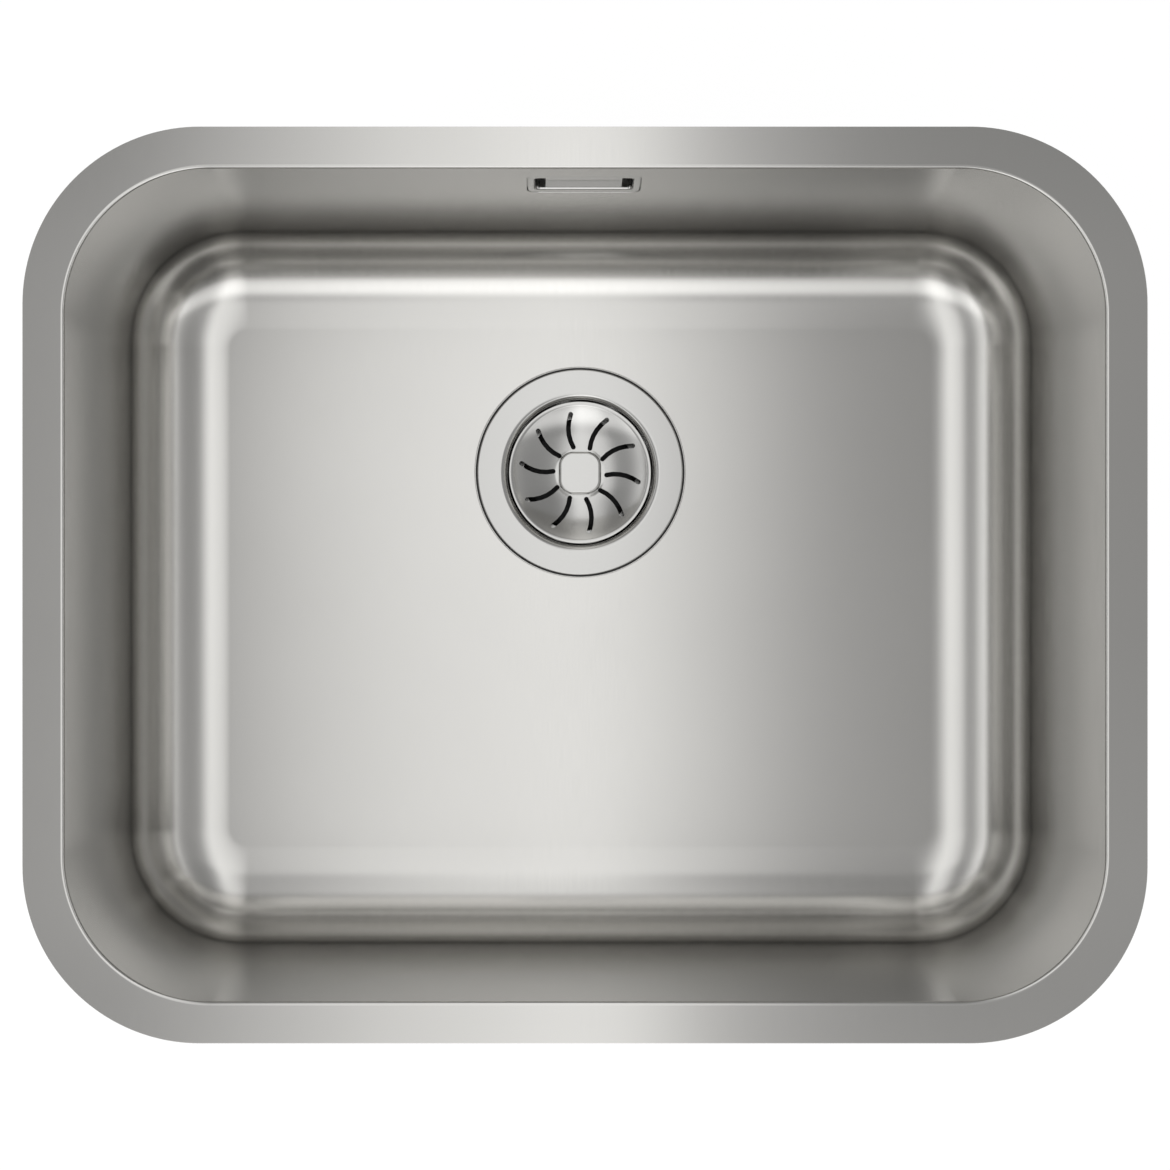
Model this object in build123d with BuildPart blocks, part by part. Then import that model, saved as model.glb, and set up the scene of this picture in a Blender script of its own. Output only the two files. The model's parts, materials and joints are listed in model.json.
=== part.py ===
from build123d import *

import os
from math import acos, asin, cos, degrees, radians, sin, tan

# Undermount kitchen sink: a pressed stainless bowl hung under a worktop, with a basket waste,
# an overflow piped to it, sound-damping pads and swivelling fixing clips on weld studs.
# Millimetres. The origin is the centre of the flange's top face, +X runs along the long side,
# +Y towards the wall that has the overflow, and +Z up. Heights below the flange are negative.

# ---- bowl: one pressed sheet ----
sink_length = 540.0
sink_width = 440.0
flange_width = 20.0
flange_corner_radius = 85.0
bowl_corner_radius = 70.0
bowl_depth = 200.0
wall_draft = 4.3  # degrees that each wall leans inwards
floor_radius = 48.0  # between wall and floor
sheet = 1.0
lip_radius = 2.0  # outside of the bend from flange to wall
edge_break = 0.2

# ---- waste seat pressed into the floor ----
waste_setback = 137.0  # the waste's axis in front of the rear wall
cup_flange_radius = 56.1
seat_gap = 1.15  # ring left open round the cup's flange
seat_edge_radius = 0.6
cup_flange_thickness = 1.2
flange_gasket_thickness = 0.8
waste_hole_radius = 44.0

# ---- waste cup ----
cup_radius = 39.6  # inside
cup_depth = 40.0
cup_sheet = 1.0
cup_shoulder_radius = 4.0
drain_slot_count = 6
drain_slot_inner = 13.0
drain_slot_outer = 25.0
drain_slot_web = 5.0
cup_edge_radius = 2.0

# ---- gaskets of the waste ----
flange_gasket_inner = 46.0
flange_gasket_overhang = 0.8  # squeezed out past the cup's flange, seen in the ring round it
body_gasket_thickness = 3.0
body_gasket_inner = 46.0
body_gasket_outer = 56.5

# ---- waste body and outlet funnel: two mouldings under the bowl, welded at a lapped rim ----
body_ring_radius = 58.0
body_ring_thickness = 3.5
body_inner_radius = 47.0
body_wall = 3.0
lap_height = 2.0
lap_clearance = 0.05
funnel_height = 22.0
funnel_clearance = 1.5  # from the cup's underside down to the start of the funnel
outlet_radius = 23.9  # G 1 1/2 outside thread
outlet_bore_radius = 20.0
outlet_length = 26.0
hub_radius = 8.5
hub_drop = 5.0  # from the cup's underside down to the hub
hub_height = 18.0
web_thickness = 2.5
web_margin = 4.0  # web's top below the hub's top

# ---- clamp screw and its insert ----
screw_head_radius = 9.0
screw_head_height = 3.0
screw_radius = 4.0
screw_clearance = 0.2
screw_slot_width = 2.0
screw_slot_depth = 1.2
insert_radius = 6.0
insert_length = 13.0
thread_clearance = 0.05
screw_end_margin = 1.0

# ---- stopper under the strainer ----
stem_radius = 3.0
tip_radius = 2.5
tip_clearance = 0.3
tip_reach = 13.0  # how far the tip goes into the clamp screw
tip_margin = 3.0  # bore left under the tip
stem_running_clearance = 0.08
seal_radius = 31.0
seal_lip_width = 4.0
seal_lip_height = 4.8
seal_thickness = 3.0
seal_seat_gap = 0.2
stem_collar_radius = 5.5
stem_collar_height = 1.2
plate_radius = 28.0
plate_thickness = 1.0
stopper_nut_flats = 10.0
stopper_nut_height = 3.5
sleeve_radius = 4.5
sleeve_clearance = 0.1
sleeve_end_gap = 0.3
catch_ring_width = 1.4
catch_ring_depth = 0.35
catch_ring_rub = 0.05
catch_ring_margin = 3.0  # above the tip's end

# ---- strainer dish ----
dish_radius = 38.8
dish_rim_width = 1.5
dish_sheet = 0.8
dish_inner_slope = 7.0  # degrees, where the sides leave the flat middle
dish_outer_slope = 30.0  # degrees, where they meet the rim
dish_flat_radius = 13.0
dish_drop = 4.0  # rim below the bowl's floor
swirl_count = 10
swirl_width = 2.6
swirl_inner_radius = 14.7
swirl_outer_radius = 32.3
swirl_first_angle = 32.0
swirl_lag = 5.0  # degrees that the outer end lies behind the inner end
swirl_sagitta = 1.6

# ---- strainer knob ----
knob_size = 23.0
knob_corner_radius = 7.5
knob_height = 6.5
knob_edge_radius = 1.0
pocket_radius = 7.0
pocket_height = 4.0
stem_head_radius = 5.5
stem_head_height = 1.5
stem_head_gap = 0.3

# ---- overflow ----
overflow_height = -37.0  # middle of the opening, measured from the flange
overflow_length = 47.7
overflow_width = 25.0
overflow_corner_radius = 2.5
cover_border = 3.85  # frame round the opening
cover_border_height = 6.2
cover_sheet = 1.0
cover_recess = 0.2  # cover's face behind the wall's face
cover_gap = 0.3
emboss_corner_radius = 6.0
emboss_edge_radius = 0.5
collar_length = 6.0
collar_gap = 0.35
inlet_width = 5.0  # open slot on each side of the centre plate
centre_plate_setback = 2.5
screw_spacing = 30.0
boss_radius = 3.4
boss_length = 5.3
overflow_screw_radius = 2.0
overflow_screw_engagement = 4.0
overflow_screw_head_radius = 3.5
overflow_screw_head_height = 2.4
screw_tube_wall = 1.2
screw_head_clearance = 0.3

overflow_gasket_thickness = 2.0
gasket_collar_gap = 0.65
housing_flange_thickness = 2.5
housing_depth = 20.3  # from the gasket to the housing's back
housing_wall = 2.0
housing_inset = 1.5  # housing's body inside its flange
housing_corner_radius = 5.0
housing_edge_radius = 3.0

# ---- overflow hose and its nuts ----
hose_bore_radius = 7.0
hose_root_radius = 8.2
hose_crest_radius = 9.6
hose_rib_pitch = 4.0
hose_bend_radius = 50.0
cuff_length = 10.0
cuff_radius = 9.0
cuff_flange_radius = 10.0
cuff_flange_thickness = 2.0
spigot_radius = 10.2
spigot_length = 14.0
hose_seal_thickness = 2.0
hose_seal_inset = 0.2
nut_radius = 13.8
nut_thread_clearance = 0.1
nut_cuff_clearance = 0.3
nut_back_thickness = 2.5
nut_shoulder_gap = 0.2
nut_grip_count = 12
nut_grip_radius = 1.2
nut_standoff = 2.0  # between nut and housing
overflow_axis_setback = 15.6  # spigot's axis behind the rear wall's inner face
inlet_drop = 23.0  # inlet's axis below the bowl's underside at the seat

# ---- weld studs, nuts and fixing clips ----
stud_inset = 9.0  # stud's axis inside the flange's edge
stud_radius = 2.5
stud_length = 14.0
stud_tip_chamfer = 0.6
stud_end_distance = 120.0  # along each side, from the flange's end to the stud
clip_width = 16.0
clip_reach = 50.0
clip_thickness = 2.0
clip_gap = 0.1
clip_hole_clearance = 0.25
clip_corner_radius = 3.0
clip_edge_radius = 0.3
clip_slot_width = 6.5
clip_slot_length = 14.0
clip_slot_margin = 5.0
flange_nut_flats = 8.0
flange_nut_height = 4.5
flange_nut_skirt_radius = 5.9
flange_nut_skirt_height = 1.2

# ---- sound-damping pads ----
pad_thickness = 3.0
pad_corner_radius = 12.0
pad_edge_radius = 0.8
floor_pad_margin = 20.0
floor_pad_length = 300.0
side_pad_length = 220.0
side_pad_height = 90.0
front_pad_length = 300.0
wall_pad_level = -80.0  # middle of the pads on the walls

# ---- places and heights that follow from the above ----
bowl_length = sink_length - 2 * flange_width
bowl_width = sink_width - 2 * flange_width
waste_y = bowl_width / 2 - waste_setback
stud_spread_x = sink_length / 2 - stud_end_distance
stud_spread_y = sink_width / 2 - stud_end_distance
seat_depth = cup_flange_thickness + flange_gasket_thickness
floor_level = -bowl_depth
seat_level = floor_level - seat_depth
seat_underside = seat_level - sheet
cup_floor = floor_level - cup_depth
cup_underside = cup_floor - cup_sheet
hub_top = cup_underside - hub_drop
hub_bottom = hub_top - hub_height
body_top = seat_underside - body_gasket_thickness
funnel_top = cup_underside - funnel_clearance
funnel_bottom = funnel_top - funnel_height
outlet_end = funnel_bottom - outlet_length
inlet_level = seat_underside - inlet_drop
seal_base = cup_floor + seal_seat_gap
seal_underside = seal_base + seal_lip_height
seal_top = seal_underside + seal_thickness
plate_top = seal_top + plate_thickness
stopper_nut_top = plate_top + stopper_nut_height
dish_rim = floor_level - dish_drop
dish_span = dish_radius - dish_rim_width - dish_flat_radius
dish_arc_radius = dish_span / (sin(radians(dish_outer_slope)) - sin(radians(dish_inner_slope)))
dish_depth = dish_arc_radius * (cos(radians(dish_inner_slope)) - cos(radians(dish_outer_slope)))
dish_centre = dish_rim - dish_depth
stem_head_base = dish_centre + stem_head_gap
screw_head_top = cup_floor + screw_head_height
tip_end = screw_head_top - tip_reach
flange_underside = -sheet
clip_top = flange_underside - clip_gap
clip_underside = clip_top - clip_thickness
nut_top = clip_underside - clip_gap

skin_offset = sheet / cos(radians(wall_draft))  # wall's thickness, measured level
cup_outer_radius = cup_radius + cup_sheet
body_outer_radius = body_inner_radius + body_wall
seat_radius = cup_flange_radius + seat_gap
rear_stud_line = sink_width / 2 - stud_inset
side_stud_line = sink_length / 2 - stud_inset

waste_section = Plane.XZ.offset(-waste_y)  # half sections are drawn here as (radius, height)
waste_axis = Axis((0, waste_y, 0), (0, 0, 1))


def at_waste(height):
    """Level plane on the waste's axis."""
    return Plane((0, waste_y, height))


def wall_plane(side, height):
    """Plane on the inner face of one wall: x along it, y up it, z into the basin."""
    turn = {"rear": 0, "left": 90, "front": 180, "right": 270}[side]
    half_span = (bowl_width if side in ("rear", "front") else bowl_length) / 2
    lean = radians(wall_draft)
    rear = Plane(
        origin=(0, half_span + height * tan(lean), height),
        x_dir=(1, 0, 0),
        z_dir=(0, -cos(lean), sin(lean)),
    )
    return Plane(Location((0, 0, 0), (0, 0, turn)) * rear.location)


def drafted_block(length, width, corner, depth, bottom_radius):
    """Rounded block that narrows by the walls' draft, drawn upside down with its mouth at z = 0."""
    with BuildPart() as block:
        with BuildSketch():
            RectangleRounded(length, width, corner)
        extrude(amount=depth, taper=wall_draft)
        fillet(block.faces().sort_by(Axis.Z)[-1].edges(), bottom_radius)
    return block


def turned(*outline, rounded=()):
    """Ring or disc turned about the waste's axis from the (radius, height) points of its section.

    rounded lists (radius, height, corner radius) for each corner of the section that is rounded.
    """
    with BuildPart() as piece:
        with BuildSketch(waste_section) as section:
            with BuildLine():
                Polyline(*outline, close=True)
            make_face()
            for radius, height, corner in rounded:
                fillet(section.vertices().sort_by_distance((radius, height))[0], corner)
        revolve(axis=waste_axis)
    return piece


def save(piece, label):
    """Name a finished piece and write it to its own file."""
    piece.part.label = label
    export_step(piece.part, f"parts/{label}.step")


os.makedirs("parts", exist_ok=True)

# ---- bowl ----
emboss_length = overflow_length + 2 * cover_border + 2 * cover_gap
emboss_width = overflow_width + 2 * cover_border_height + 2 * cover_gap
emboss_depth = cover_sheet + cover_recess
collar_outer_length = overflow_length + 2 * cover_sheet
collar_outer_width = overflow_width + 2 * cover_sheet
wall_opening_length = collar_outer_length + 2 * collar_gap
wall_opening_width = collar_outer_width + 2 * collar_gap
overflow_plane = wall_plane("rear", overflow_height)
emboss_back = emboss_depth + sheet

skin_block = drafted_block(
    bowl_length + 2 * skin_offset,
    bowl_width + 2 * skin_offset,
    bowl_corner_radius + skin_offset,
    bowl_depth + sheet,
    floor_radius + sheet,
)
basin_block = drafted_block(
    bowl_length, bowl_width, bowl_corner_radius, bowl_depth, floor_radius
)

with BuildPart() as bowl:
    with BuildSketch(Plane.XY.offset(flange_underside)):
        RectangleRounded(sink_length, sink_width, flange_corner_radius)
    extrude(amount=sheet)
    chamfer(bowl.edges().filter_by(Plane.XY), edge_break)
    add(skin_block.part, rotation=(180, 0, 0))
    # the pressed seat for the waste, and the pressed frame for the overflow, stand proud outside
    with BuildSketch(at_waste(seat_underside)):
        Circle(seat_radius + sheet)
    extrude(amount=seat_depth)
    with BuildSketch(overflow_plane.offset(-emboss_back)):
        RectangleRounded(
            emboss_length + 2 * sheet, emboss_width + 2 * sheet, emboss_corner_radius + sheet
        )
    extrude(amount=emboss_depth)
    add(basin_block.part, rotation=(180, 0, 0), mode=Mode.SUBTRACT)
    with BuildSketch(at_waste(seat_level)):
        Circle(seat_radius)
    extrude(amount=seat_depth, mode=Mode.SUBTRACT)
    with BuildSketch(at_waste(seat_underside)):
        Circle(waste_hole_radius)
    extrude(amount=sheet, mode=Mode.SUBTRACT)
    with BuildSketch(overflow_plane.offset(-emboss_depth)):
        RectangleRounded(emboss_length, emboss_width, emboss_corner_radius)
    extrude(amount=emboss_depth, mode=Mode.SUBTRACT)
    with BuildSketch(overflow_plane.offset(-emboss_back)):
        RectangleRounded(
            wall_opening_length, wall_opening_width, overflow_corner_radius + cover_sheet
        )
    extrude(amount=sheet, mode=Mode.SUBTRACT)
    # bends of the sheet: over the lip, and round the two pressed recesses
    top_face = bowl.faces().filter_by(Plane.XY).sort_by(Axis.Z)[-1]
    fillet(top_face.inner_wires()[0].edges(), lip_radius)
    under_face = bowl.faces().filter_by(Plane.XY).filter_by_position(
        Axis.Z, flange_underside - edge_break, flange_underside + edge_break
    )[0]
    fillet(under_face.inner_wires()[0].edges(), lip_radius - sheet)
    floor_face = bowl.faces().filter_by(Plane.XY).filter_by_position(
        Axis.Z, floor_level - edge_break, floor_level + edge_break
    )[0]
    fillet(floor_face.inner_wires()[0].edges(), seat_edge_radius)
    rear_face = bowl.faces().filter_by(GeomType.PLANE).sort_by_distance(
        overflow_plane.from_local_coords((emboss_length, 0, 0))
    )[0]
    fillet(rear_face.inner_wires()[0].edges(), emboss_edge_radius)
save(bowl, "bowl")

# ---- waste: gaskets, cup, body ----
cup_flange_under = floor_level - cup_flange_thickness
flange_gasket = turned(
    (flange_gasket_inner, seat_level),
    (cup_flange_radius + flange_gasket_overhang, seat_level),
    (cup_flange_radius + flange_gasket_overhang, cup_flange_under),
    (flange_gasket_inner, cup_flange_under),
)
save(flange_gasket, "flange_gasket")

cup_shell = turned(
    (screw_radius + screw_clearance, cup_underside),
    (cup_outer_radius, cup_underside),
    (cup_outer_radius, cup_flange_under),
    (cup_flange_radius, cup_flange_under),
    (cup_flange_radius, floor_level),
    (cup_radius, floor_level),
    (cup_radius, cup_floor),
    (screw_radius + screw_clearance, cup_floor),
    rounded=(
        (cup_radius, floor_level, cup_shoulder_radius),
        (cup_outer_radius, cup_flange_under, cup_shoulder_radius - cup_sheet),
        (cup_radius, cup_floor, cup_edge_radius),
        (cup_outer_radius, cup_underside, cup_edge_radius + cup_sheet),
        (cup_flange_radius, floor_level, cup_flange_thickness / 3),
    ),
)
drain_slot_middle = (drain_slot_inner + drain_slot_outer) / 2
drain_slot_half_angle = 180 / drain_slot_count - degrees(
    asin((drain_slot_web / 2 + (drain_slot_outer - drain_slot_inner) / 2) / drain_slot_middle)
)
with BuildPart() as waste_cup:
    add(cup_shell.part)
    with BuildSketch(at_waste(cup_underside)) as drain_slots:
        for index in range(drain_slot_count):
            with BuildLine(mode=Mode.PRIVATE) as slot_line:
                CenterArc(
                    (0, 0),
                    drain_slot_middle,
                    index * 360 / drain_slot_count - drain_slot_half_angle,
                    2 * drain_slot_half_angle,
                )
            SlotArc(slot_line.wire(), drain_slot_outer - drain_slot_inner)
    extrude(amount=cup_sheet, mode=Mode.SUBTRACT)
save(waste_cup, "waste_cup")

body_gasket = turned(
    (body_gasket_inner, body_top),
    (body_gasket_outer, body_top),
    (body_gasket_outer, seat_underside),
    (body_gasket_inner, seat_underside),
)
save(body_gasket, "body_gasket")

lap_radius = body_inner_radius + body_wall / 2
lap_top = funnel_top + lap_height
body_shell = turned(
    (body_inner_radius, body_top),
    (body_inner_radius, funnel_top),
    (lap_radius, funnel_top),
    (lap_radius, lap_top + lap_clearance),
    (body_outer_radius, lap_top + lap_clearance),
    (body_outer_radius, body_top - body_ring_thickness),
    (body_ring_radius, body_top - body_ring_thickness),
    (body_ring_radius, body_top),
    rounded=(
        (body_outer_radius, body_top - body_ring_thickness, body_wall / 2),
        (body_ring_radius, body_top - body_ring_thickness, body_ring_thickness / 3),
    ),
)
inlet_plane = Plane((0, waste_y, inlet_level), x_dir=(1, 0, 0), z_dir=(0, 1, 0))
with BuildPart() as waste_body:
    add(body_shell.part)
    # inlet for the overflow's water, towards the rear
    with BuildSketch(inlet_plane.offset(body_inner_radius + body_wall / 2)):
        Circle(spigot_radius)
    extrude(amount=body_wall / 2 + spigot_length)
    with BuildSketch(inlet_plane.offset(cup_outer_radius)):
        Circle(hose_bore_radius)
    extrude(amount=body_outer_radius - cup_outer_radius + spigot_length, mode=Mode.SUBTRACT)
save(waste_body, "waste_body")

funnel_shell = turned(
    (body_inner_radius, funnel_top),
    (outlet_bore_radius, funnel_bottom),
    (outlet_bore_radius, outlet_end),
    (outlet_radius, outlet_end),
    (outlet_radius, funnel_bottom - body_wall / 2),
    (body_outer_radius, funnel_top - body_wall / 2),
    (body_outer_radius, lap_top),
    (lap_radius + lap_clearance, lap_top),
    (lap_radius + lap_clearance, funnel_top),
    rounded=(
        (outlet_radius, funnel_bottom - body_wall / 2, body_wall),
        (body_outer_radius, funnel_top - body_wall / 2, body_wall),
    ),
)
funnel_slope = (body_inner_radius - outlet_bore_radius) / funnel_height
web_top = hub_top - web_margin
web_bottom = funnel_bottom + web_margin / 2
web_top_reach = body_inner_radius - funnel_slope * (funnel_top - web_top) + body_wall / 2
web_bottom_reach = body_inner_radius - funnel_slope * (funnel_top - web_bottom) + body_wall / 2
with BuildPart() as outlet_funnel:
    add(funnel_shell.part)
    # hub and four webs that carry the insert
    with BuildSketch(at_waste(hub_bottom)):
        Circle(hub_radius)
    extrude(amount=hub_height)
    for turn in (0, 90):
        with BuildSketch(Plane(waste_section.location * Location((0, 0, 0), (0, turn, 0)))):
            Polygon(
                (-web_top_reach, web_top),
                (-web_bottom_reach, web_bottom),
                (web_bottom_reach, web_bottom),
                (web_top_reach, web_top),
                align=None,
            )
        extrude(amount=web_thickness / 2, both=True)
    with BuildSketch(at_waste(hub_bottom)):
        Circle(screw_radius + screw_clearance)
    extrude(amount=hub_height, mode=Mode.SUBTRACT)
    with BuildSketch(at_waste(hub_top)):
        Circle(insert_radius + thread_clearance)
    extrude(amount=-insert_length, mode=Mode.SUBTRACT)
save(outlet_funnel, "outlet_funnel")

# ---- clamp screw: draws the cup and the body together ----
insert_bottom = hub_top - insert_length
screw_end = insert_bottom + screw_end_margin
screw_bore_radius = tip_radius + tip_clearance
screw_bore_end = tip_end - tip_margin
screw_shell = turned(
    (0, screw_end),
    (screw_radius, screw_end),
    (screw_radius, cup_floor),
    (screw_head_radius, cup_floor),
    (screw_head_radius, screw_head_top),
    (screw_bore_radius, screw_head_top),
    (screw_bore_radius, screw_bore_end),
    (0, screw_bore_end),
    rounded=((screw_head_radius, screw_head_top, screw_head_height / 4),),
)
with BuildPart() as clamp_screw:
    add(screw_shell.part)
    with BuildSketch(at_waste(screw_head_top)):
        Rectangle(2 * screw_head_radius, screw_slot_width)
    extrude(amount=-screw_slot_depth, mode=Mode.SUBTRACT)
save(clamp_screw, "clamp_screw")

clamp_insert = turned(
    (screw_radius + thread_clearance, insert_bottom),
    (insert_radius, insert_bottom),
    (insert_radius, hub_top),
    (screw_radius + thread_clearance, hub_top),
)
save(clamp_insert, "clamp_insert")

# ---- stopper: stem, seal, plate, nut, sleeve and catch ring ----
ring_outer = screw_bore_radius - catch_ring_rub
ring_inner = tip_radius - catch_ring_depth
ring_bottom = tip_end + catch_ring_margin
ring_top = ring_bottom + catch_ring_width
collar_bottom = seal_underside - stem_collar_height
stem = turned(
    (0, tip_end),
    (tip_radius, tip_end),
    (tip_radius, ring_bottom),
    (ring_inner, ring_bottom),
    (ring_inner, ring_top),
    (tip_radius, ring_top),
    (tip_radius, collar_bottom),
    (stem_collar_radius, collar_bottom),
    (stem_collar_radius, seal_underside),
    (stem_radius, seal_underside),
    (stem_radius, stem_head_base),
    (stem_head_radius, stem_head_base),
    (stem_head_radius, stem_head_base + stem_head_height),
    (0, stem_head_base + stem_head_height),
    rounded=((tip_radius, tip_end, tip_radius / 3),),
)
save(stem, "stem")

catch_ring = turned(
    (ring_inner, ring_bottom),
    (ring_outer, ring_bottom),
    (ring_outer, ring_top),
    (ring_inner, ring_top),
)
save(catch_ring, "catch_ring")

stem_hole_radius = stem_radius + sleeve_clearance
stopper_seal = turned(
    (stem_hole_radius, seal_underside),
    (seal_radius - seal_lip_width, seal_underside),
    (seal_radius - seal_lip_width, seal_base),
    (seal_radius, seal_base),
    (seal_radius, seal_top),
    (stem_hole_radius, seal_top),
    rounded=(
        (seal_radius, seal_top, seal_thickness / 2),
        (seal_radius, seal_base, seal_lip_width / 4),
        (seal_radius - seal_lip_width, seal_base, seal_lip_width / 4),
    ),
)
save(stopper_seal, "stopper_seal")

stopper_plate = turned(
    (stem_hole_radius, seal_top),
    (plate_radius, seal_top),
    (plate_radius, plate_top),
    (stem_hole_radius, plate_top),
    rounded=((plate_radius, plate_top, plate_thickness / 3),),
)
save(stopper_plate, "stopper_plate")

with BuildPart() as stopper_nut:
    with BuildSketch(at_waste(plate_top)):
        RegularPolygon(stopper_nut_flats / 2, 6, major_radius=False)
        Circle(stem_hole_radius, mode=Mode.SUBTRACT)
    extrude(amount=stopper_nut_height)
save(stopper_nut, "stopper_nut")

sleeve_top = dish_centre - dish_sheet - sleeve_end_gap
stem_sleeve = turned(
    (stem_hole_radius, stopper_nut_top),
    (sleeve_radius, stopper_nut_top),
    (sleeve_radius, sleeve_top),
    (stem_hole_radius, sleeve_top),
)
save(stem_sleeve, "stem_sleeve")

# ---- strainer dish: flat middle, curved sides, flat rim, swirl of slots ----
dish_arc_axis = dish_flat_radius - dish_arc_radius * sin(radians(dish_inner_slope))
dish_arc_centre = dish_centre + dish_arc_radius * cos(radians(dish_inner_slope))
rim_underside = dish_rim - dish_sheet
dish_underside = dish_centre - dish_sheet
outer_arc_radius = dish_arc_radius + dish_sheet
under_start = acos((dish_arc_centre - dish_underside) / outer_arc_radius)
under_end = acos((dish_arc_centre - rim_underside) / outer_arc_radius)
dish_hole_radius = stem_radius + stem_running_clearance
mid_angle = radians(swirl_lag) / 2
chord_middle = (swirl_inner_radius + swirl_outer_radius) / 2


def dish_side(radius, start, end):
    """Start, middle and end of one face of the dish's sides, from slope to slope."""
    return [
        (dish_arc_axis + radius * sin(slope), dish_arc_centre - radius * cos(slope))
        for slope in (start, (start + end) / 2, end)
    ]


inside = dish_side(dish_arc_radius, radians(dish_inner_slope), radians(dish_outer_slope))
outside = dish_side(outer_arc_radius, under_end, under_start)
with BuildPart() as strainer_dish:
    with BuildSketch(waste_section):
        with BuildLine():
            Line((dish_hole_radius, dish_centre), inside[0])
            ThreePointArc(*inside)
            Polyline(
                inside[-1], (dish_radius, dish_rim), (dish_radius, rim_underside), outside[0]
            )
            ThreePointArc(*outside)
            Polyline(
                outside[-1], (dish_hole_radius, dish_underside), (dish_hole_radius, dish_centre)
            )
        make_face()
    revolve(axis=waste_axis)
    with BuildSketch(at_waste(dish_underside)):
        for index in range(swirl_count):
            start = radians(swirl_first_angle + index * 360 / swirl_count)
            end = start - radians(swirl_lag)
            middle = start - mid_angle
            with BuildLine(mode=Mode.PRIVATE) as swirl_line:
                ThreePointArc(
                    (swirl_inner_radius * cos(start), swirl_inner_radius * sin(start)),
                    (
                        chord_middle * cos(middle) - swirl_sagitta * sin(middle),
                        chord_middle * sin(middle) + swirl_sagitta * cos(middle),
                    ),
                    (swirl_outer_radius * cos(end), swirl_outer_radius * sin(end)),
                )
            SlotArc(swirl_line.wire(), swirl_width)
    extrude(amount=dish_depth + dish_sheet, mode=Mode.SUBTRACT)
save(strainer_dish, "strainer_dish")

with BuildPart() as strainer_knob:
    with BuildSketch(at_waste(dish_centre)):
        RectangleRounded(knob_size, knob_size, knob_corner_radius)
    extrude(amount=knob_height)
    fillet(strainer_knob.faces().sort_by(Axis.Z)[-1].edges(), knob_edge_radius)
    with BuildSketch(at_waste(dish_centre)):
        Circle(pocket_radius)
    extrude(amount=pocket_height, mode=Mode.SUBTRACT)
save(strainer_knob, "strainer_knob")

# ---- overflow cover: frame, collar through the wall, set-back centre plate with two bosses ----
cover_back = overflow_plane.offset(-emboss_depth)
collar_back = overflow_plane.offset(-collar_length)
centre_plate_back = centre_plate_setback + cover_recess + cover_sheet
screw_sites = [(-screw_spacing / 2, 0), (screw_spacing / 2, 0)]
screw_hole_radius = overflow_screw_radius + thread_clearance
with BuildPart() as overflow_cover:
    with BuildSketch(cover_back):
        RectangleRounded(
            emboss_length - 2 * cover_gap,
            emboss_width - 2 * cover_gap,
            emboss_corner_radius - cover_gap,
        )
    extrude(amount=cover_sheet)
    with BuildSketch(collar_back):
        RectangleRounded(
            collar_outer_length, collar_outer_width, overflow_corner_radius + cover_sheet
        )
    extrude(amount=collar_length - emboss_depth)
    with BuildSketch(collar_back):
        RectangleRounded(overflow_length, overflow_width, overflow_corner_radius)
    extrude(amount=collar_length, mode=Mode.SUBTRACT)
    with BuildSketch(overflow_plane.offset(-centre_plate_back)):
        Rectangle(overflow_length - 2 * inlet_width, overflow_width + cover_sheet)
    extrude(amount=cover_sheet)
    with BuildSketch(overflow_plane.offset(-centre_plate_back)):
        with Locations(*screw_sites):
            Circle(boss_radius)
    extrude(amount=-boss_length)
    with BuildSketch(overflow_plane.offset(-centre_plate_back)):
        with Locations(*screw_sites):
            Circle(screw_hole_radius)
    extrude(amount=-boss_length, mode=Mode.SUBTRACT)
save(overflow_cover, "overflow_cover")

gasket_front = emboss_back
gasket_back = gasket_front + overflow_gasket_thickness
with BuildPart() as overflow_gasket:
    with BuildSketch(overflow_plane.offset(-gasket_back)):
        RectangleRounded(emboss_length, emboss_width, emboss_corner_radius)
        RectangleRounded(
            collar_outer_length + 2 * gasket_collar_gap,
            collar_outer_width + 2 * gasket_collar_gap,
            overflow_corner_radius + cover_sheet,
            mode=Mode.SUBTRACT,
        )
    extrude(amount=overflow_gasket_thickness)
save(overflow_gasket, "overflow_gasket")

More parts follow.
